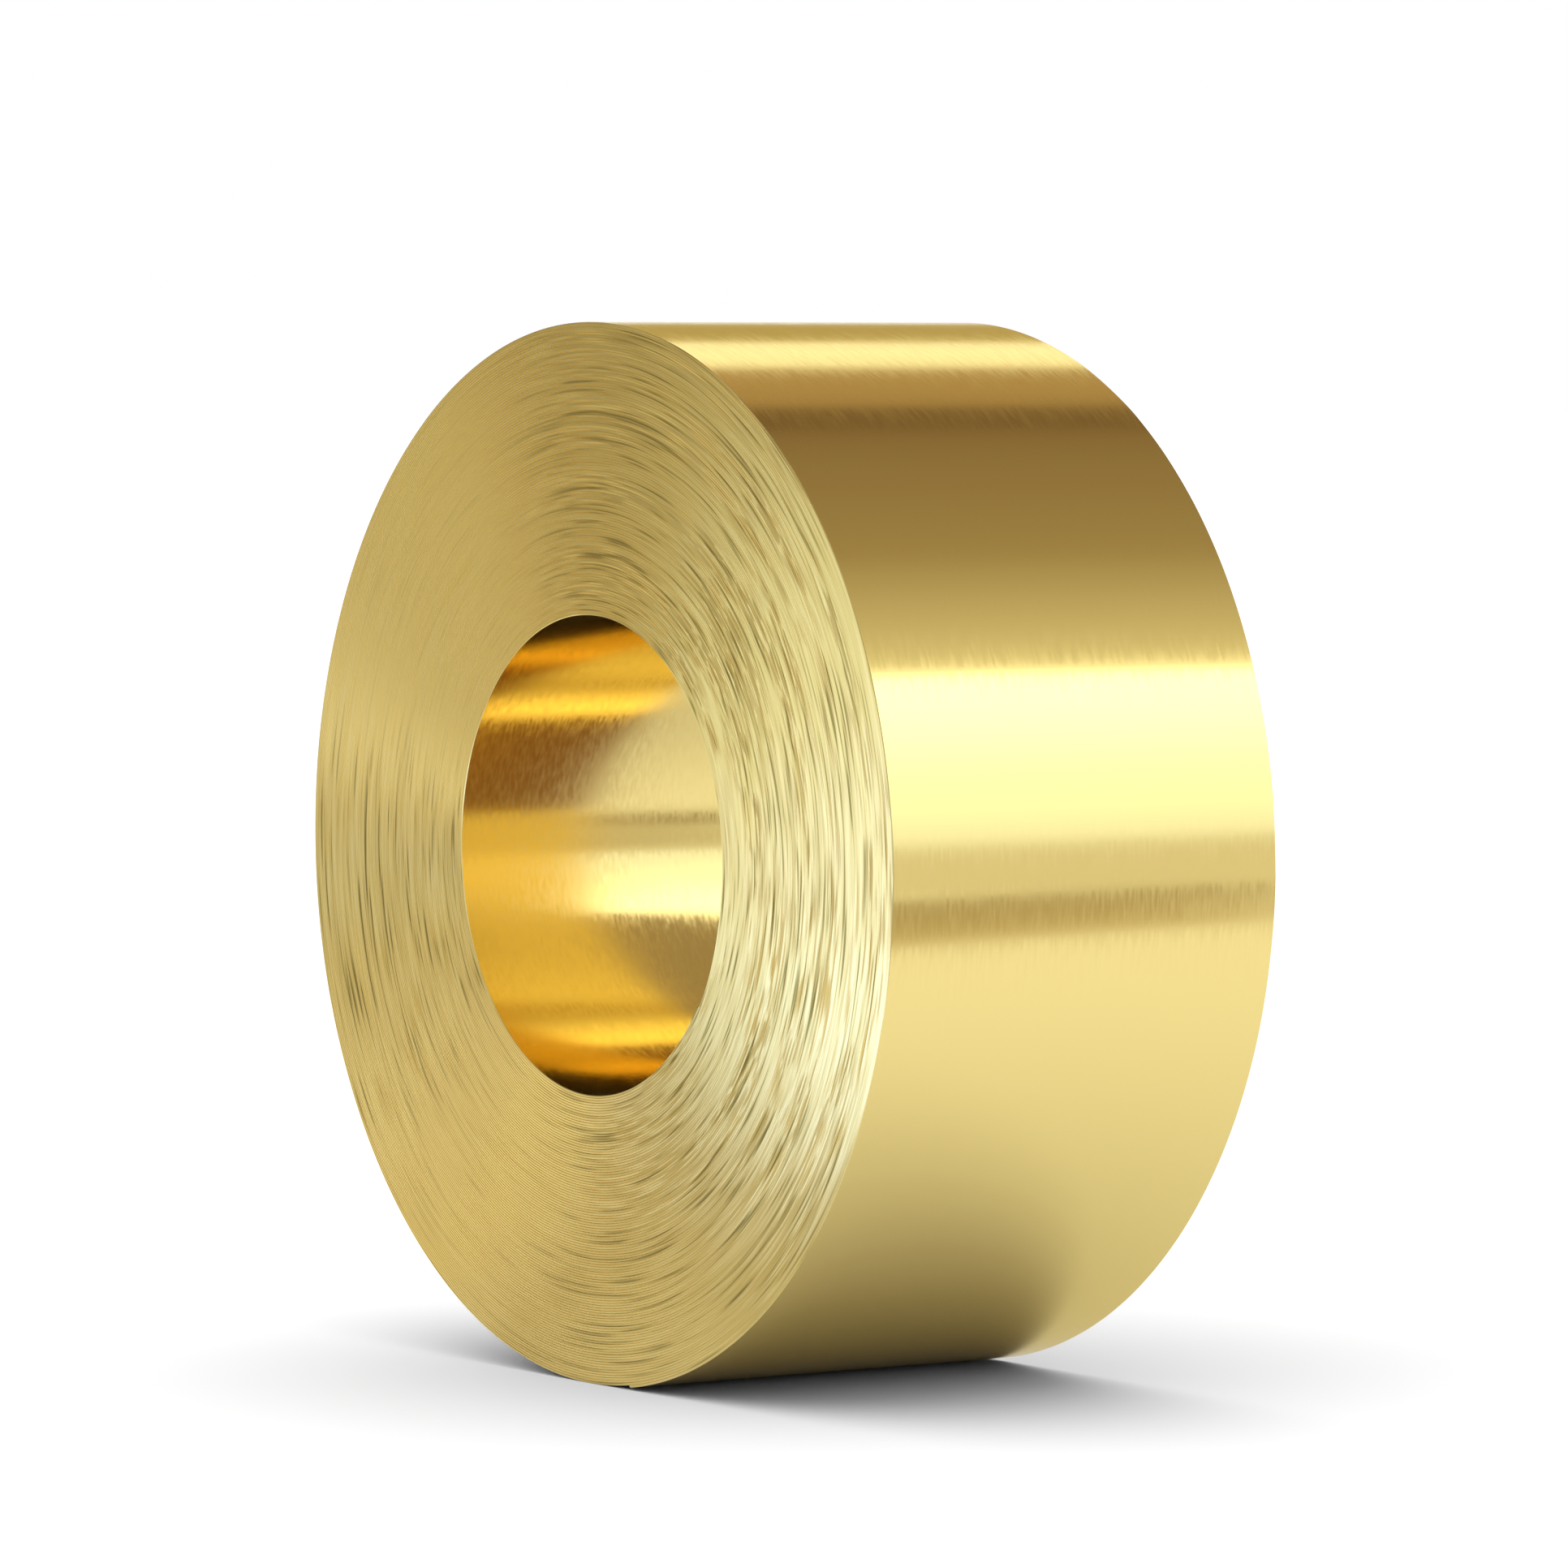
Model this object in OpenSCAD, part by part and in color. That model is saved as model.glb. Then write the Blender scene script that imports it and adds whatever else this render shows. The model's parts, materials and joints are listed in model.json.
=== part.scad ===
// A roll of brass strip, wound on itself with no core and standing on its rim.
// The roll's axis lies along Y through the origin, and the end that is shown faces -Y.

/* [Strip] */
// Thickness of the strip, and so the step from one turn to the next
strip_t = 0.8; // [0.4:0.05:2]
// Width that the strip was slit to
strip_w = 142.5; // [40:0.5:300]
// Corner that slitting rolled over on each edge of the strip
slit_corner = 0.15; // [0.05:0.01:0.4]

/* [Winding] */
// Bore left by the mandrel that the strip was wound on
bore_d = 150; // [80:1:300]
// Turns that lie one on another
turns = 114; // [20:1:130]
// Furthest that the strip wanders along the mandrel to either side
drift = 0.3; // [0:0.01:1]
// Turns in which the strip wanders once there and back
drift_turns = 23; // [5:1:100]
// Share of the wandering that changes from one turn to the next
scatter = 0.6; // [0:0.05:1]

/* [Strip ends] */
// Angle by which the strip's outer end, under the roll, stays clear of the floor
outer_end_clear = 2; // [0:0.5:10]
// Where the strip's inner end lies in the bore, from +X over the top
inner_end = -35; // [-180:5:175]
// Angle in which the first turn climbs over the inner end
lead_in = 25; // [20:5:60]

/* [Hidden] */
$fn = 180;
brass = "#dcbf68";
bore_r = bore_d / 2;
rim_r = bore_r + turns * strip_t;
// Past its outer end the strip leaves the rim one thickness lower, and there the roll touches
// the floor. The end lies beside that line and just clear of the floor, so it can't spring open.
outer_end = 270 + acos(1 - strip_t / rim_r) + outer_end_clear;
// A corner is rolled over by less than half of the strip's thickness
corner = min(slit_corner, 0.4 * strip_t);
// Room that a cutter has past the rim and past both ends
cutter_room = 2 * drift + 2;
// The first turn climbs on an arc whose centre is moved this far towards the inner end
lead_in_offset = strip_t / (1 - cos(lead_in));

// How far turn k lies towards the shown end
function shift(k) =
    drift * ((1 - scatter) * sin(360 * k / drift_turns) + scatter * rands(-1, 1, 1, k)[0]);

// Where the two slit edges of turn k lie along the axis
function shown_edge(k) = strip_w / 2 + shift(k);
function back_edge(k) = -strip_w / 2 + shift(k);

// Between two turns the end dips to the rolled corner of the turn that lies deeper
function shown_dip(k) = min(shown_edge(k), shown_edge(min(k + 1, turns - 1))) - corner;
function back_dip(k) = max(back_edge(k), back_edge(min(k + 1, turns - 1))) + corner;

// Radius at which turn k begins
function turn_r(k) = bore_r + k * strip_t;

// Section through one side of the roll: the edge of every turn, on both ends
module winding_section() {
    shown = [for (k = [0 : turns - 1]) each [
        [turn_r(k) + corner, shown_edge(k)],
        [turn_r(k + 1) - corner, shown_edge(k)],
        [turn_r(k + 1), shown_dip(k)]
    ]];
    back = [for (k = [turns - 1 : -1 : 0]) each [
        [turn_r(k + 1), back_dip(k)],
        [turn_r(k + 1) - corner, back_edge(k)],
        [turn_r(k) + corner, back_edge(k)]
    ]];
    polygon(concat(
        [[bore_r, shown_edge(0) - corner]],
        shown,
        back,
        [[bore_r, back_edge(0) + corner]]
    ));
}

// Half a ring with a square section, over the roll's whole width
module half_ring(from_r, to_r) {
    rotate_extrude(angle = 180)
        translate([from_r, -strip_w / 2 - cutter_room])
            square([to_r - from_r, strip_w + 2 * cutter_room]);
}

// Past its outer end the strip is missing, so the rim steps down by one thickness.
// It climbs back over half a turn, on an arc about a centre moved by half a thickness.
module outer_step() {
    rotate([0, 0, outer_end])
        translate([-strip_t / 2, 0, 0])
            rotate([0, 0, 180])
                half_ring(rim_r - strip_t / 2, rim_r + cutter_room);
}

// Where the first turn climbs over the inner end, the bore deepens to one thickness
module inner_step() {
    rotate([0, 0, inner_end])
        translate([lead_in_offset, 0, 0])
            half_ring(0, bore_r + strip_t - lead_in_offset);
}

// The wound strip, turned as one solid and laid with its axis along Y
module strip_roll() {
    color(brass)
        rotate([90, 0, 0])
            difference() {
                rotate_extrude()
                    winding_section();
                outer_step();
                inner_step();
            }
}

strip_roll();
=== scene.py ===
"""A roll of cold-rolled brass strip, wound on itself with no core and standing on its rim."""
import json
import math

import bpy
import numpy as np
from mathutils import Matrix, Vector, noise


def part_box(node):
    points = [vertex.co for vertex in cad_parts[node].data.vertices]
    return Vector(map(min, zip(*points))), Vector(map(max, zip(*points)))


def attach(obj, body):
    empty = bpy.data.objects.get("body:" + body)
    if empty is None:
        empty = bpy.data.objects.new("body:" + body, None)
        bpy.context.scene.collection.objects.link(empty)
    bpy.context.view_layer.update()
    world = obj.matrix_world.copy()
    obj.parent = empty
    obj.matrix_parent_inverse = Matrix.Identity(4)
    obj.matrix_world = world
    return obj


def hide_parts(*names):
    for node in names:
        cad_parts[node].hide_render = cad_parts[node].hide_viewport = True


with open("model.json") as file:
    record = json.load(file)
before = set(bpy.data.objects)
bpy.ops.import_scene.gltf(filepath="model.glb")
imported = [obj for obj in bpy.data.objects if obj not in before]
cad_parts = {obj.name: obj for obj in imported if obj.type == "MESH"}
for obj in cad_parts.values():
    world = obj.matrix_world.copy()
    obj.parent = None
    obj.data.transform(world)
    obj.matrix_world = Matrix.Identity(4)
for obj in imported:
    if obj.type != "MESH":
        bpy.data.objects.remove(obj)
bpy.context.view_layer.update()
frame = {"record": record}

# Lengths are in metres. The roll's axis is Y, and the end that is shown faces -Y.
MM = 0.001
BORE = frame["record"]["mounts"][0]
ROLL_LOW, ROLL_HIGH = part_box("strip_roll")
BORE_R = BORE["dims"]["r_mm"] * MM
RIM_R = min(ROLL_HIGH.x, ROLL_HIGH.z)
# Turns of the strip, as many as the solid shows
LAYERS = 114
STRIP_T = (RIM_R - BORE_R) / LAYERS
STRIP_W = 142.5 * MM
# Slitting rolls the corners over. Handling has dulled them more at the bore and the rim.
SLIT_CORNER = 0.1 * MM
DULLED_CORNER = 0.25 * MM

# The strip runs clockwise from its inner end to its outer end. Angles are from +X over the top.
# The outer end lies under the roll, beside the line where the roll touches the floor.
INNER_END = math.radians(-35)
OUTER_END = math.radians(272) + math.acos(1 - STRIP_T / RIM_R)
LEAD_IN = math.radians(25)
# Steps that each turn is drawn in, and the part of a turn that the last one covers
STEPS = 360
LAST_LAP = (INNER_END - OUTER_END) % math.tau / math.tau
LAST_STEP = (LAYERS - 1) * STEPS + round(LAST_LAP * STEPS)

# How much the turns stand out from each other round the roll, from 0 where they lie level, and how much
# shade is painted between them. They lie level between 9 and 12 o'clock, and again near 7 o'clock.
ROUND_DEGREES = (-180, -150, -132, -110, -92, -60, -35, 65, 95, 112, 160, 174, 180)
LIVELY_SHARES = (0.22, 0.2, 0.08, 0.1, 0.45, 0.5, 0.8, 0.85, 0.4, 0.1, 0.08, 0.2, 0.22)
GAP_SHADE_SHARES = (1.0, 0.9, 0.3, 0.2, 0.45, 0.8, 1.0, 0.8, 0.5, 0.1, 0.15, 0.8, 1.0)
# How much the turns beside the bore are painted greyer, as painted shade that dims the reflected sheen there,
# fading towards the rim
BORE_SHADE_SHARES = (0, 0, 0, 0, 0.1, 1, 1, 0.2, 0, 0, 0, 0, 0)

# How far the strip wanders along the axis, in millimetres: over many turns, over two or three, and from
# one to the next
SLOW_WANDER = 0.05
PAIR_STEP = 0.1
SINGLE_STEP = 0.08
# How far a slit edge leans across the strip's thickness, in millimetres for a noise of 1, the most that the
# noise may be, and the lean that every turn has from the slitting
BEVEL = 0.5
BEVEL_LIMIT = 0.3
SLIT_LEAN = 0.1


def linear(hex_colour):
    """An sRGB hex colour as linear RGB, for a shader's socket."""
    parts = [int(hex_colour[i:i + 2], 16) / 255 for i in (1, 3, 5)]
    return [c / 12.92 if c <= 0.04045 else ((c + 0.055) / 1.055) ** 2.4 for c in parts] + [1.0]


# The strip's path

def angle_at(steps):
    """Angle round the axis at each step along the strip's length."""
    return INNER_END - steps / STEPS * math.tau


def climb(steps):
    """How far the strip has climbed, in thicknesses, at each step along its length.
    The first turn climbs in a short stretch over the strip's inner end, and the last in half a turn."""
    layer = steps // STEPS
    turned = (steps % STEPS) / STEPS
    outward = np.clip(layer / (LAYERS - 1), 0, 1)
    first_start = 1 - LEAD_IN / math.tau
    start = first_start + outward * (LAST_LAP - first_start)
    end = 1 + outward * (LAST_LAP + 0.5 - 1)
    share = np.clip((turned - start) / (end - start), 0, 1)
    return layer + (1 - np.cos(math.pi * share)) / 2


def wander_and_tilt(steps):
    """How far the strip lies towards the shown end at each step, and how much its edge leans out there.
    Both change in short arcs, from one turn to the next, and only a little where the turns lie level.
    Every edge leans a little towards the rim, from the slitting."""
    shift = np.zeros(len(steps))
    lean = np.zeros(len(steps))
    degrees = (np.degrees(angle_at(steps)) + 180) % 360 - 180
    lively = np.interp(degrees, ROUND_DEGREES, LIVELY_SHARES)
    for n, step in enumerate(steps):
        turn = step / STEPS
        angle = angle_at(step)
        ring = Vector((math.cos(angle), math.sin(angle), 0))
        slow = noise.noise(ring * 0.6 + Vector((0, 0, turn * 0.13)))
        cluster = noise.noise(ring * 1.6 + Vector((4, 2, turn * 0.12)))
        # Noise is 0 at whole numbers. The finer ones are moved off them, or a straight line would show.
        pair = noise.noise(ring * 6.0 + Vector((7.4, 3.3, turn * 0.7)))
        single = noise.noise(ring * 9.0 + Vector((1.6, 9.3, turn * 1.7)))
        bevel = noise.noise(ring * 9.4 + Vector((3.3, 5.7, turn * 0.9)))
        # Turns that stand out come in clusters, with calmer arcs between
        strength = lively[n] * min(max(0.6 + 1.6 * cluster, 0.12), 1.4)
        shift[n] = SLOW_WANDER * slow + strength * (PAIR_STEP * pair + SINGLE_STEP * single)
        lean[n] = BEVEL * strength * min(max(bevel, -BEVEL_LIMIT), BEVEL_LIMIT) - SLIT_LEAN
    return shift * MM, lean * MM


ALL_STEPS = np.arange(-STEPS, LAST_STEP + STEPS + 1)
CLIMB = climb(ALL_STEPS)
WANDER, TILT = wander_and_tilt(ALL_STEPS)
ROOM_AHEAD = -ROLL_LOW.y - STRIP_W / 2
ROOM_BEHIND = ROLL_HIGH.y - STRIP_W / 2


def at(table, steps):
    """Values of a table of all steps at these steps."""
    return table[np.asarray(steps) + STEPS]


def polar(radius, angle, y):
    """Points at a radius and an angle round the axis, as rows of x, y, z."""
    return np.stack([radius * np.cos(angle), y + 0 * radius, radius * np.sin(angle)], -1)


def corner_reach(steps, side, outward):
    """How far the inner or outer corner of the strip's edge lies from the roll's middle, at each step."""
    lean = at(TILT, steps) * (0.5 if outward else -0.5)
    shift = np.clip(-side * at(WANDER, steps) + lean, -ROOM_AHEAD, ROOM_AHEAD if side < 0 else ROOM_BEHIND)
    return STRIP_W / 2 + shift


def edge_points(steps, side):
    """The dip, the inner corner and the outer corner of the strip's edge at each step. The side is -1 on
    the shown end and 1 on the back end."""
    angle = angle_at(steps)
    radius = BORE_R + at(CLIMB, steps) * STRIP_T
    in_bore = steps < STEPS
    past_rim = steps > LAST_STEP
    inner = corner_reach(steps, side, False)
    outer = corner_reach(steps, side, True)
    below = corner_reach(steps - STEPS, side, True)
    dip = np.where(past_rim, below, np.where(in_bore, inner, np.minimum(inner, below)))
    inner_corner = np.where(in_bore, DULLED_CORNER, SLIT_CORNER)
    outer_corner = np.where(steps > LAST_STEP - STEPS, DULLED_CORNER, SLIT_CORNER)
    dip_corner = np.where(in_bore | past_rim, DULLED_CORNER, SLIT_CORNER)
    return (
        polar(radius, angle, side * (dip - dip_corner)),
        polar(radius + inner_corner, angle, side * inner),
        polar(radius + STRIP_T - outer_corner, angle, side * outer),
    )


class MeshParts:
    """Points and faces of one mesh, gathered before it is made."""

    def __init__(self):
        self.points = []
        self.count = 0
        self.faces = []
        self.slots = []

    def add_points(self, points):
        first = self.count
        self.points.append(points)
        self.count += len(points)
        return np.arange(first, self.count)

    def strip_between(self, a, b, slot, flip):
        """Quads between two rows of points of the same length."""
        rows = (a[:-1], a[1:], b[1:], b[:-1])
        quads = np.stack(rows if flip else rows[::-1], -1)
        self.faces.extend(quads.tolist())
        self.slots.extend([slot] * len(quads))

    def face(self, corners, slot):
        self.faces.append([int(c) for c in corners])
        self.slots.append(slot)


FACE, EDGE, CUT = 0, 1, 2


def wound_turns(name, first, last, rows_in, rows_out, materials):
    """The turns between two steps of the strip as one closed solid. Its innermost and outermost faces are
    drawn in rows across the strip's width."""
    parts = MeshParts()
    steps = np.arange(first, last + 1)
    count = len(steps)
    steps_over = np.arange(last + 1, last + STEPS + 1)
    rings = {}
    for side in (-1, 1):
        dip, inner, outer = edge_points(steps, side)
        dip_over = edge_points(steps_over, side)[0]
        dips = parts.add_points(np.concatenate([dip, dip_over]))
        inners = parts.add_points(inner)
        outers = parts.add_points(outer)
        flip = side > 0
        parts.strip_between(dips[:count], inners, EDGE, flip)
        parts.strip_between(inners, outers, EDGE, flip)
        parts.strip_between(outers, dips[STEPS:STEPS + count], EDGE, flip)
        rings[side] = (dips, inners, outers)
    (near, near_inners, near_outers), (far, far_inners, far_outers) = rings[-1], rings[1]
    for start, rows, cut, flip in ((0, rows_in, 0, True), (count - 1, rows_out, -1, False)):
        near_line = near[start:start + STEPS + 1]
        far_line = far[start:start + STEPS + 1]
        whole = np.concatenate(parts.points)
        lines = [near_line]
        for row in range(1, rows):
            share = row / rows
            lines.append(parts.add_points(whole[near_line] * (1 - share) + whole[far_line] * share))
        lines.append(far_line)
        for low, high in zip(lines[:-1], lines[1:]):
            parts.strip_between(low, high, FACE, flip)
        # The strip's cut end closes the solid here
        below = [line[0] for line in lines]
        above = [line[-1] for line in lines]
        corners = below + [far_inners[cut], far_outers[cut]] + above[::-1]
        corners += [near_outers[cut], near_inners[cut]]
        parts.face(corners[::-1] if flip else corners, CUT)
    mesh = bpy.data.meshes.new(name)
    mesh.from_pydata(np.concatenate(parts.points).tolist(), [], parts.faces)
    mesh.polygons.foreach_set("material_index", parts.slots)
    for material in materials:
        mesh.materials.append(material)
    mesh.shade_smooth()
    mesh.set_sharp_from_angle(angle=math.radians(25))
    mesh.validate()
    piece = bpy.data.objects.new(name, mesh)
    bpy.context.scene.collection.objects.link(piece)
    return piece


# Materials

def add(tree, kind, inputs=(), **settings):
    """Adds a node with its settings, and links or sets its inputs."""
    made = tree.nodes.new(kind)
    for name, value in settings.items():
        setattr(made, name, value)
    for socket, value in dict(inputs).items():
        if isinstance(value, bpy.types.NodeSocket):
            tree.links.new(value, made.inputs[socket])
        else:
            made.inputs[socket].default_value = value
    return made


def new_material(name):
    material = bpy.data.materials.new(name)
    material.use_nodes = True
    material.node_tree.nodes.clear()
    return material, material.node_tree


def round_the_axis(tree, along, ring, radial):
    """A texture's coordinates that follow the roll: one lap of a ring, along the axis and out from it.
    Along and radial are how many cells of the pattern lie in a metre, and ring is its radius in cells."""
    place = add(tree, "ShaderNodeTexCoord").outputs["Object"]
    split = add(tree, "ShaderNodeSeparateXYZ", {0: place})
    flat = add(tree, "ShaderNodeCombineXYZ", {"X": split.outputs["X"], "Y": split.outputs["Z"]})
    length = add(tree, "ShaderNodeVectorMath", {0: flat.outputs[0]}, operation="LENGTH")
    unit = add(tree, "ShaderNodeVectorMath", {0: flat.outputs[0]}, operation="NORMALIZE")
    lap = add(tree, "ShaderNodeVectorMath", {0: unit.outputs[0], 1: (ring, ring, 0)}, operation="MULTIPLY")
    out = add(tree, "ShaderNodeMath", {0: length.outputs["Value"], 1: radial}, operation="MULTIPLY")
    depth = add(tree, "ShaderNodeMath", {0: split.outputs["Y"], 1: along, 2: out.outputs[0]},
                operation="MULTIPLY_ADD")
    rise = add(tree, "ShaderNodeCombineXYZ", {"Z": depth.outputs[0]})
    wound = add(tree, "ShaderNodeVectorMath", {0: lap.outputs[0], 1: rise.outputs[0]}, operation="ADD")
    return wound.outputs[0]


def distance_from_axis(tree):
    """How far a point of the surface lies from the roll's axis, in metres."""
    place = add(tree, "ShaderNodeTexCoord").outputs["Object"]
    outward = add(tree, "ShaderNodeVectorMath", {0: place, 1: (1, 0, 1)}, operation="MULTIPLY")
    return add(tree, "ShaderNodeVectorMath", {0: outward.outputs[0]}, operation="LENGTH").outputs["Value"]


def angle_over_the_top(tree):
    """The angle of a point of the surface round the roll's axis, from +X over the top, in radians."""
    place = add(tree, "ShaderNodeTexCoord").outputs["Object"]
    split = add(tree, "ShaderNodeSeparateXYZ", {0: place})
    angle = add(tree, "ShaderNodeMath", {0: split.outputs["Z"], 1: split.outputs["X"]}, operation="ARCTAN2")
    return angle.outputs[0]


def round_the_roll(tree, shares):
    """A value from 0 to 1 that runs through these shares round the roll."""
    lap = add(tree, "ShaderNodeMapRange",
              {"Value": angle_over_the_top(tree), "From Min": -math.pi, "From Max": math.pi})
    ramp = add(tree, "ShaderNodeValToRGB", {"Fac": lap.outputs[0]})
    stops = ramp.color_ramp.elements
    stops[0].color = [shares[0]] * 3 + [1]
    stops[-1].color = [shares[-1]] * 3 + [1]
    for degrees, share in zip(ROUND_DEGREES[1:-1], shares[1:-1]):
        stops.new(degrees / 360 + 0.5).color = [share] * 3 + [1]
    return ramp.outputs[0]


def cold_rolled_brass():
    """Face of brass strip that polished rolls made: a bright mirror, blurred a little along the strip.
    Faint waves along the strip fray the edges of what it shows, more so in the bore, where the strip is
    bent most. Rolling lines are finer than 0.1 mm. They are drawn 1.1 mm apart, to show."""
    line_spacing = 1.1 * MM
    sway_at_one_metre = 1.7 * MM
    material, tree = new_material("cold_rolled_brass")
    lines = add(tree, "ShaderNodeTexNoise",
                {"Vector": round_the_axis(tree, along=1 / line_spacing, ring=20, radial=0),
                 "Scale": 1.0, "Detail": 1.0, "Roughness": 0.5})
    blur = add(tree, "ShaderNodeMapRange",
               {"Value": lines.outputs["Fac"], "From Min": 0.3, "From Max": 0.7,
                "To Min": 0.13, "To Max": 0.2})
    around = add(tree, "ShaderNodeTangent", direction_type="RADIAL", axis="Y")
    wave = add(tree, "ShaderNodeMath", {0: lines.outputs["Fac"], 1: 0.5}, operation="SUBTRACT")
    steepest = add(tree, "ShaderNodeMath", {0: sway_at_one_metre, 1: distance_from_axis(tree)},
                   operation="DIVIDE")
    slope = add(tree, "ShaderNodeMath", {0: wave.outputs[0], 1: steepest.outputs[0]}, operation="MULTIPLY")
    sway = add(tree, "ShaderNodeVectorMath", {0: around.outputs[0], 3: slope.outputs[0]}, operation="SCALE")
    normal = add(tree, "ShaderNodeNewGeometry").outputs["Normal"]
    swayed = add(tree, "ShaderNodeVectorMath", {0: normal, 1: sway.outputs[0]}, operation="ADD")
    upright = add(tree, "ShaderNodeVectorMath", {0: swayed.outputs[0]}, operation="NORMALIZE")
    shader = add(tree, "ShaderNodeBsdfPrincipled",
                 {"Base Color": linear("#efd98d"), "Metallic": 1.0, "Specular Tint": linear("#fff8da"),
                  "Roughness": blur.outputs[0], "Anisotropic": 0.5, "Anisotropic Rotation": 0.25,
                  "Normal": upright.outputs[0], "Tangent": around.outputs[0]})
    add(tree, "ShaderNodeOutputMaterial", {"Surface": shader.outputs[0]})
    return material


def slit_brass():
    """Edges of brass strip that rotary knives cut: satin, with fine lines along the strip, so that each turn
    glints across its own width. Where the turns stand out from each other, the lines are painted darker, as
    painted shade in the gaps between turns, and a few paler, as painted glints. Beside the bore the brass is
    painted greyer, as painted shade that dims the reflected sheen there. Knife lines are about 0.05 mm apart.
    They are drawn 0.9 mm apart, about one to a turn, to show."""
    streak_spacing = 0.9 * MM
    bore_shade_end = RIM_R - 25 * MM
    material, tree = new_material("slit_brass")
    lively = round_the_roll(tree, LIVELY_SHARES)
    painted_shade_share = round_the_roll(tree, GAP_SHADE_SHARES)
    streaks = add(tree, "ShaderNodeTexNoise",
                  {"Vector": round_the_axis(tree, along=0, ring=4.5, radial=1 / streak_spacing),
                   "Scale": 1.0, "Detail": 0.5, "Roughness": 0.5})
    height = add(tree, "ShaderNodeBump",
                 {"Height": streaks.outputs["Fac"], "Strength": lively, "Distance": 0.04 * MM})
    # Painted shade: dark streaks in the gaps between turns that stand out, and a few paler painted glints
    painted_gap_shade = add(tree, "ShaderNodeValToRGB", {"Fac": streaks.outputs["Fac"]})
    painted_gap_shade.color_ramp.elements[0].position = 0.26
    painted_gap_shade.color_ramp.elements[0].color = linear("#908246")
    painted_gap_shade.color_ramp.elements[1].position = 0.68
    painted_gap_shade.color_ramp.elements[1].color = linear("#f0de97")
    painted_gap_shade.color_ramp.elements.new(0.39).color = linear("#e0ca7e")
    with_gap_shade = add(tree, "ShaderNodeMix", {"Factor": painted_shade_share, 6: linear("#ead486"), 7: painted_gap_shade.outputs[0]},
                data_type="RGBA")
    # Painted shade: greyer brass beside the bore, which dims the reflected sheen there
    painted_bore_shade = add(tree, "ShaderNodeMapRange",
                  {"Value": distance_from_axis(tree), "From Min": BORE_R, "From Max": bore_shade_end,
                   "To Min": round_the_roll(tree, BORE_SHADE_SHARES), "To Max": 0.0})
    colour = add(tree, "ShaderNodeMix",
                 {"Factor": painted_bore_shade.outputs[0], 6: with_gap_shade.outputs[2], 7: linear("#e3dcc6")},
                 data_type="RGBA", blend_type="MULTIPLY")
    sheen = add(tree, "ShaderNodeMapRange", {"Value": lively, "To Min": 0.36, "To Max": 0.27})
    around = add(tree, "ShaderNodeTangent", direction_type="RADIAL", axis="Y")
    shader = add(tree, "ShaderNodeBsdfPrincipled",
                 {"Base Color": colour.outputs[2], "Metallic": 1.0, "Roughness": sheen.outputs[0],
                  "Anisotropic": 0.6, "Anisotropic Rotation": 0.25,
                  "Normal": height.outputs[0], "Tangent": around.outputs[0]})
    add(tree, "ShaderNodeOutputMaterial", {"Surface": shader.outputs[0]})
    return material


def sheared_brass():
    """The strip's cut ends, where brass was sheared: matt and a little darker, with a torn grain of
    about 0.4 mm."""
    grain_width = 0.4 * MM
    material, tree = new_material("sheared_brass")
    grain = add(tree, "ShaderNodeTexNoise",
                {"Vector": add(tree, "ShaderNodeTexCoord").outputs["Object"],
                 "Scale": 1 / grain_width, "Detail": 3.0})
    height = add(tree, "ShaderNodeBump",
                 {"Height": grain.outputs["Fac"], "Strength": 0.6, "Distance": 0.03 * MM})
    shader = add(tree, "ShaderNodeBsdfPrincipled",
                 {"Base Color": linear("#c9ad62"), "Metallic": 1.0, "Roughness": 0.45,
                  "Normal": height.outputs[0]})
    add(tree, "ShaderNodeOutputMaterial", {"Surface": shader.outputs[0]})
    return material


# The roll, in bands of turns that lie one on another

# Rows of faces across the strip's width where its face is seen, in the bore and on the rim
SEEN_ROWS = 24


def roll_of_strip():
    finishes = [cold_rolled_brass(), slit_brass(), sheared_brass()]
    names = ("bore_turns", "inner_turns", "outer_turns", "rim_turns")
    marks = [round(LAYERS * n / len(names)) * STEPS for n in range(len(names))] + [LAST_STEP]
    for n, name in enumerate(names):
        rows_in = SEEN_ROWS if n == 0 else 1
        rows_out = SEEN_ROWS if n == len(names) - 1 else 1
        piece = wound_turns(name, marks[n], marks[n + 1], rows_in, rows_out, finishes)
        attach(piece, "root")
        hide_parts("strip_roll")


# Studio: a white floor and room, and cards and soft boxes that the metal reflects

FLOOR_Z = ROLL_LOW.z


def plain_stage_object(name, points, faces, material):
    mesh = bpy.data.meshes.new(name)
    mesh.from_pydata(points, [], faces)
    mesh.materials.append(material)
    obj = bpy.data.objects.new(name, mesh)
    bpy.context.scene.collection.objects.link(obj)
    return obj


# The tints of light that the bore has reflected twice, three times and more often
BORE_TINTS = ("#fff0c0", "#f4d690", "#170c06")
# The part of the light that reaches the floor by way of the metal and is left out, after one reflection and
# after two
LEFT_OUT_ONCE = 1.0
LEFT_OUT_TWICE = 0.65


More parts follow.
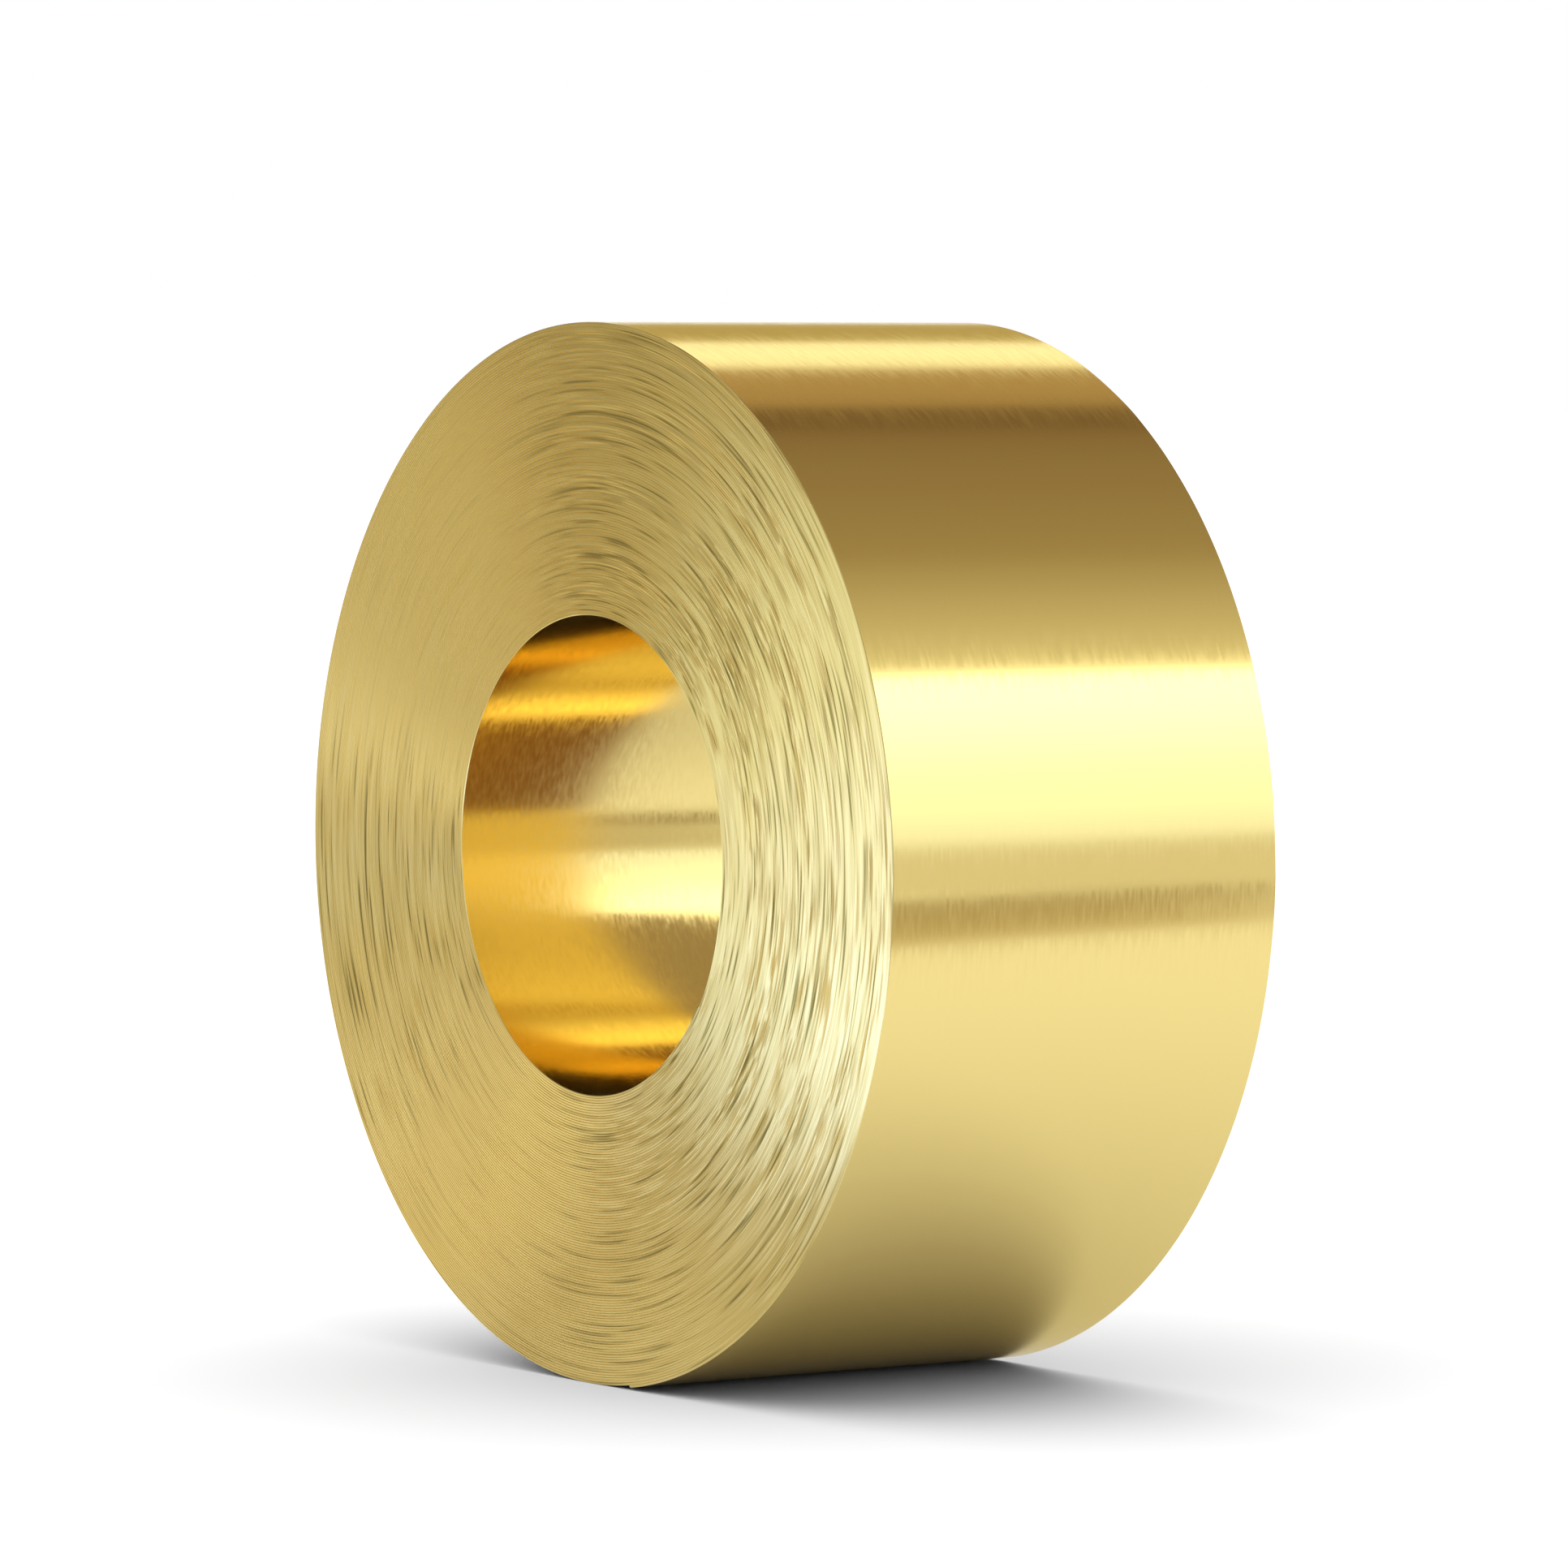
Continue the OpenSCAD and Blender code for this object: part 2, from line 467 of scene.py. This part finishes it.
def shown(tree, colour):
    """A colour of the studio as a ray finds it. The roll throws no yellow light into its own shadow, which is
    grey in the photograph. Light that the bore has passed on comes out deeper, and after three times it is
    nearly lost."""
    path = add(tree, "ShaderNodeLightPath")
    depth = path.outputs["Glossy Depth"]
    from_floor = add(tree, "ShaderNodeMath", {0: path.outputs["Diffuse Depth"], 1: 0.5},
                     operation="GREATER_THAN")
    by_metal = add(tree, "ShaderNodeMath", {0: 1.0, 1: path.outputs["Is Diffuse Ray"]}, operation="SUBTRACT")
    part = add(tree, "ShaderNodeMapRange", {"Value": depth, "From Min": 1.0, "From Max": 2.0,
                                            "To Min": LEFT_OUT_ONCE, "To Max": LEFT_OUT_TWICE})
    dimmed = add(tree, "ShaderNodeMath", {0: by_metal.outputs[0], 1: part.outputs[0]}, operation="MULTIPLY")
    lost = add(tree, "ShaderNodeMath", {0: from_floor.outputs[0], 1: dimmed.outputs[0]},
               operation="MULTIPLY")
    kept = add(tree, "ShaderNodeMath", {0: 1.0, 1: lost.outputs[0]}, operation="SUBTRACT")
    times = add(tree, "ShaderNodeMath", {0: depth, 1: by_metal.outputs[0]}, operation="MULTIPLY")
    share = add(tree, "ShaderNodeMath", {0: times.outputs[0], 1: 0.2}, operation="MULTIPLY")
    deeper = add(tree, "ShaderNodeValToRGB", {"Fac": share.outputs[0]})
    deeper.color_ramp.interpolation = "CONSTANT"
    stops = deeper.color_ramp.elements
    # One reflection is a fifth of the ramp, and a tint starts half a reflection early
    stops[0].color = linear("#ffffff")
    stops[1].position = 0.7
    stops[1].color = linear(BORE_TINTS[2])
    stops.new(0.3).color = linear(BORE_TINTS[0])
    stops.new(0.5).color = linear(BORE_TINTS[1])
    tinted = add(tree, "ShaderNodeVectorMath", {0: colour, 1: deeper.outputs[0]}, operation="MULTIPLY")
    seen = add(tree, "ShaderNodeVectorMath", {0: tinted.outputs[0], 3: kept.outputs[0]}, operation="SCALE")
    return seen.outputs[0]


def white_floor():
    """A white floor that the white room lights, and that keeps the roll's shadow. The metal shows it a
    little darker."""
    material, tree = new_material("white_floor")
    depth = add(tree, "ShaderNodeLightPath").outputs["Glossy Depth"]
    in_metal = add(tree, "ShaderNodeMath", {0: depth, 1: 1.0, 2: 0.5}, operation="COMPARE").outputs[0]
    colour = add(tree, "ShaderNodeMix", {"Factor": in_metal, 6: linear("#fcfcfc"), 7: linear("#eeeeee")},
                 data_type="RGBA")
    paper = add(tree, "ShaderNodeBsdfDiffuse", {"Color": shown(tree, colour.outputs[2])})
    add(tree, "ShaderNodeOutputMaterial", {"Surface": paper.outputs[0]})
    reach = 30.0
    corners = [(-reach, -reach), (reach, -reach), (reach, reach), (-reach, reach)]
    plain_stage_object("floor", [(x, y, FLOOR_Z) for x, y in corners], [(0, 1, 2, 3)], material)


def white_room():
    world = bpy.data.worlds.new("white_room")
    bpy.context.scene.world = world
    world.use_nodes = True
    tree = world.node_tree
    tree.nodes.clear()
    glow = add(tree, "ShaderNodeBackground", {"Color": shown(tree, (1, 1, 1)), "Strength": 1.0})
    add(tree, "ShaderNodeOutputWorld", {"Surface": glow.outputs[0]})


def reflected_only(obj):
    """The metal shows this, and nothing else does."""
    obj.visible_camera = False
    obj.visible_shadow = False
    obj.visible_diffuse = False


def bent_sheet(low, high, edges_at):
    """Points and faces of a sheet that bends round an axis from a low angle to a high one, in slices of
    about 4 degrees. edges_at gives the points of its two edges at an angle."""
    points, faces = [], []
    slices = max(2, round((high - low) / 4))
    for n in range(slices + 1):
        points.extend(edges_at(math.radians(low + (high - low) * n / slices)))
        if n:
            faces.append((2 * n - 2, 2 * n - 1, 2 * n + 1, 2 * n))
    return points, faces


CARD_DISTANCE = 1.5
CARD_NEAR_Y = -2.2
CARD_FAR_Y = 3.2


def card(name, low, high, low_colour, high_colour, low_strength=1.0, high_strength=1.0, in_bore=None):
    """A card along the roll's axis that only reflections show. It spans two angles from +X over the top,
    and its light runs evenly from its low edge to its high edge. Light that the bore passes on has another
    colour where that is given."""
    material, tree = new_material(name)
    share = add(tree, "ShaderNodeMapRange",
                {"Value": angle_over_the_top(tree),
                 "From Min": math.radians(low), "From Max": math.radians(high)})
    level = add(tree, "ShaderNodeMapRange",
                {"Value": share.outputs[0], "To Min": low_strength, "To Max": high_strength})
    ramp = add(tree, "ShaderNodeValToRGB", {"Fac": share.outputs[0]})
    ramp.color_ramp.elements[0].color = linear(low_colour)
    ramp.color_ramp.elements[1].color = linear(high_colour)
    colour, strength = ramp.outputs[0], level.outputs[0]
    if in_bore:
        depth = add(tree, "ShaderNodeLightPath").outputs["Glossy Depth"]
        passed_on = add(tree, "ShaderNodeMath", {0: depth, 1: 1.5}, operation="GREATER_THAN").outputs[0]
        colour = add(tree, "ShaderNodeMix", {"Factor": passed_on, 6: colour, 7: linear(in_bore)},
                     data_type="RGBA").outputs[2]
        strength = add(tree, "ShaderNodeMix", {"Factor": passed_on, 2: strength, 3: 1.0}).outputs[0]
    glow = add(tree, "ShaderNodeEmission", {"Color": shown(tree, colour), "Strength": strength})
    add(tree, "ShaderNodeOutputMaterial", {"Surface": glow.outputs[0]})

    def edges_at(a):
        x, z = CARD_DISTANCE * math.cos(a), CARD_DISTANCE * math.sin(a)
        return [(x, CARD_NEAR_Y, z), (x, CARD_FAR_Y, z)]

    reflected_only(plain_stage_object(name, *bent_sheet(low, high, edges_at), material))


def bore_card(name, points, colour, least_way, reflections=1):
    """A card past the far end, for light that the bore has reflected so many times. Light that has come a
    shorter way than the least, as from the back end, passes through the card."""
    material, tree = new_material(name)
    path = add(tree, "ShaderNodeLightPath")
    meant = add(tree, "ShaderNodeMath", {0: path.outputs["Glossy Depth"], 1: reflections, 2: 0.5},
                operation="COMPARE")
    other = add(tree, "ShaderNodeMath", {0: 1.0, 1: meant.outputs[0]}, operation="SUBTRACT")
    close = add(tree, "ShaderNodeMath", {0: path.outputs["Ray Length"], 1: least_way}, operation="LESS_THAN")
    hidden = add(tree, "ShaderNodeMath", {0: other.outputs[0], 1: close.outputs[0]}, operation="MAXIMUM")
    glow = add(tree, "ShaderNodeEmission", {"Color": linear(colour)})
    clear = add(tree, "ShaderNodeBsdfTransparent")
    either = add(tree, "ShaderNodeMixShader", {0: hidden.outputs[0], 1: glow.outputs[0], 2: clear.outputs[0]})
    add(tree, "ShaderNodeOutputMaterial", {"Surface": either.outputs[0]})
    reflected_only(plain_stage_object(name, points, [(0, 1, 2, 3)], material))


def bore_cards():
    """What the bore's right side shows: a dark flag below the softbox, and above it a low card and a board.
    After two reflections, a card beside those gives the thin dark line low in the bore."""
    flag_y, half, top = 0.08, 0.07, 0.09
    left_foot, right_foot = -0.0156, 0.0664
    flag = [(-half, flag_y, left_foot), (half, flag_y, right_foot), (half, flag_y, top), (-half, flag_y, top)]
    bore_card("bore_flag", flag, "#a69378", least_way=0.05)
    x, far = 0.25, 0.27
    # The heights of each edge, at its near and its far end
    board_foot, board_top, low_card_top = (-0.0945, -0.0765), (-0.0635, -0.0445), (-0.0025, 0.0105)
    line_foot, line_top = (-0.1019, -0.0329), (-0.0183, 0.0403)
    for name, near, foot, top, colour, least_way, reflections in (
            ("bore_board", 0.16, board_foot, board_top, "#9c8c70", 0.36, 1),
            ("bore_low_card", 0.16, board_top, low_card_top, "#ccc4b4", 0.36, 1),
            ("bore_line", 0.19, line_foot, line_top, "#d7bc7c", 0.05, 2)):
        points = [(x, near, foot[0]), (x, far, foot[1]), (x, far, top[1]), (x, near, top[0])]
        bore_card(name, points, colour, least_way, reflections)


def low_board():
    """A long low board past the white table's edge, which gives the rim its thin dark band."""
    material, tree = new_material("low_board")
    near, far, top, foot = (0.305, -0.6), (0.658, 0.464), -0.066, FLOOR_Z + 8 * MM
    place = add(tree, "ShaderNodeTexCoord").outputs["Object"]
    height = add(tree, "ShaderNodeSeparateXYZ", {0: place}).outputs["Z"]
    level = add(tree, "ShaderNodeMapRange",
                {"Value": height, "From Min": foot, "From Max": top, "To Min": 1.45, "To Max": 0.95})
    glow = add(tree, "ShaderNodeEmission",
               {"Color": shown(tree, linear("#b2a48a")[:3]), "Strength": level.outputs[0]})
    add(tree, "ShaderNodeOutputMaterial", {"Surface": glow.outputs[0]})
    points = [(*near, foot), (*far, foot), (*far, top), (*near, top)]
    reflected_only(plain_stage_object("low_board", points, [(0, 1, 2, 3)], material))


def end_card(name, low, high, near_row, far_row, colour, low_strength, high_strength, fade=1.0):
    """A card round the shown end, between two angles from -X towards -Y. A row is a distance and a height.
    Its light runs evenly from the low angle to the high one, and fades with height to a share of that."""
    material, tree = new_material(name)
    place = add(tree, "ShaderNodeTexCoord").outputs["Object"]
    split = add(tree, "ShaderNodeSeparateXYZ", {0: place})
    forward = add(tree, "ShaderNodeMath", {0: split.outputs["Y"], 1: -1.0}, operation="MULTIPLY")
    leftward = add(tree, "ShaderNodeMath", {0: split.outputs["X"], 1: -1.0}, operation="MULTIPLY")
    angle = add(tree, "ShaderNodeMath", {0: forward.outputs[0], 1: leftward.outputs[0]}, operation="ARCTAN2")
    across = add(tree, "ShaderNodeMapRange",
                 {"Value": angle.outputs[0], "From Min": math.radians(low), "From Max": math.radians(high),
                  "To Min": low_strength, "To Max": high_strength})
    upward = add(tree, "ShaderNodeMapRange",
                 {"Value": split.outputs["Z"], "From Min": near_row[1], "From Max": far_row[1],
                  "To Min": 1.0, "To Max": fade})
    level = add(tree, "ShaderNodeMath", {0: across.outputs[0], 1: upward.outputs[0]}, operation="MULTIPLY")
    glow = add(tree, "ShaderNodeEmission",
               {"Color": shown(tree, linear(colour)[:3]), "Strength": level.outputs[0]})
    add(tree, "ShaderNodeOutputMaterial", {"Surface": glow.outputs[0]})

    def edges_at(a):
        return [(-reach * math.cos(a), -reach * math.sin(a), height) for reach, height in (near_row, far_row)]

    reflected_only(plain_stage_object(name, *bent_sheet(low, high, edges_at), material))


def end_surround():
    """A beige wall and tray round the shown end, and a cool window that gives its right side a pale sheen."""
    tray = FLOOR_Z + MM
    foot, low, middle, top = (0.9, FLOOR_Z), (0.9, 0.06), (0.9, 0.3), (0.9, 1.2)
    end_card("end_wall", 0, 49, foot, low, "#fff2d4", 0.56, 0.76)
    end_card("end_wall_middle", 0, 36, low, middle, "#fff4da", 0.55, 0.61, 0.5)
    end_card("end_wall_edge", 36, 49, low, middle, "#ffeec0", 0.61, 0.85, 0.5)
    end_card("end_wall_right", 49, 120, low, middle, "#e0eaf4", 1.68, 1.68, 0.75)
    end_card("end_wall_top", 0, 40, middle, top, "#fff6e1", 0.27, 0.3)
    end_card("end_wall_top_right", 40, 170, middle, top, "#fff6e1", 0.52, 0.52)
    end_card("cool_window", 49, 110, foot, low, "#ccd8ff", 2.2, 2.3)
    end_card("camera_wall", 110, 170, foot, middle, "#e6ecff", 0.6, 0.6)
    end_card("tray_left", 0, 20, (0.2, tray), (0.9, tray), "#fbf8f0", 1.27, 1.5)
    end_card("tray_middle", 20, 44, (0.2, tray), (0.9, tray), "#fbf4dc", 1.42, 0.68)
    end_card("tray_right", 44, 120, (0.12, tray), (0.36, tray), "#f8efdc", 0.66, 0.62)
    end_card("tray_far_right", 44, 120, (0.36, tray), (0.9, tray), "#b8caff", 2.95, 2.95)


def soft_sun():
    """Broad light from the upper left, which gives the floor the roll's shadow."""
    lamp = bpy.data.lights.new("soft_sun", "SUN")
    lamp.angle = math.radians(120)
    lamp.energy = 0.95
    obj = bpy.data.objects.new("soft_sun", lamp)
    obj.rotation_euler = Vector((0.4, 0.1, -1.0)).to_track_quat("-Z", "Y").to_euler()
    obj.visible_glossy = False
    bpy.context.scene.collection.objects.link(obj)


def studio():
    white_floor()
    white_room()
    low_board()
    bore_cards()
    # The colour that the cards overhead and behind give to the band of the bore's left side
    deep_brown = "#907473"
    card("low_card", -6.5, 3, "#ebe6dc", "#ebe6dc")
    card("softbox_foot", 3, 19, "#e6f0ff", "#fbfdff", 1.42, 1.75)
    card("front_softbox", 19, 38.2, "#ffffff", "#ffffff", 1.8, 2.8)
    card("upper_card", 38.2, 66, "#e6e0cc", "#a6967a", in_bore=deep_brown)
    card("overhead_flag", 66, 100, "#a6967a", "#8f7a64", in_bore=deep_brown)
    card("dark_flag", 100, 109, "#7c6751", "#7c6751", in_bore=deep_brown)
    card("rear_flag", 109, 126.2, "#b69c7a", "#b69c7a", in_bore=deep_brown)
    card("rear_strip_light", 126.2, 141.8, "#ffffff", "#ffffff", 1.34, 1.34, in_bore=deep_brown)
    card("rear_card", 141.8, 163, "#bcaa76", "#bcaa76", in_bore="#ffffff")
    end_surround()
    soft_sun()


# Camera, found from the outlines of the two ends and the bore in the photograph

def camera():
    view_angle = math.radians(57.22)
    height_angle = math.radians(3.36)
    distance = 16.25 * RIM_R
    turned_right = math.radians(1.295)
    tipped_up = math.radians(0.472)
    shown_end = Vector((0, -STRIP_W / 2, 0))
    back = Vector((math.sin(view_angle) * math.cos(height_angle),
                   -math.cos(view_angle) * math.cos(height_angle),
                   math.sin(height_angle)))
    heading = math.atan2(-back.x, -back.y) + turned_right
    pitch = math.asin(-back.z) + tipped_up
    ahead = Vector((math.sin(heading) * math.cos(pitch),
                    math.cos(heading) * math.cos(pitch),
                    math.sin(pitch)))
    data = bpy.data.cameras.new("camera")
    data.sensor_width = 36.0
    data.lens = 198.7
    data.clip_end = 100.0
    obj = bpy.data.objects.new("camera", data)
    obj.location = shown_end + back * distance
    obj.rotation_mode = "QUATERNION"
    obj.rotation_quaternion = ahead.to_track_quat("-Z", "Y")
    bpy.context.scene.collection.objects.link(obj)
    bpy.context.scene.camera = obj


camera()
roll_of_strip()
studio()
bpy.context.scene.view_settings.view_transform = "Standard"
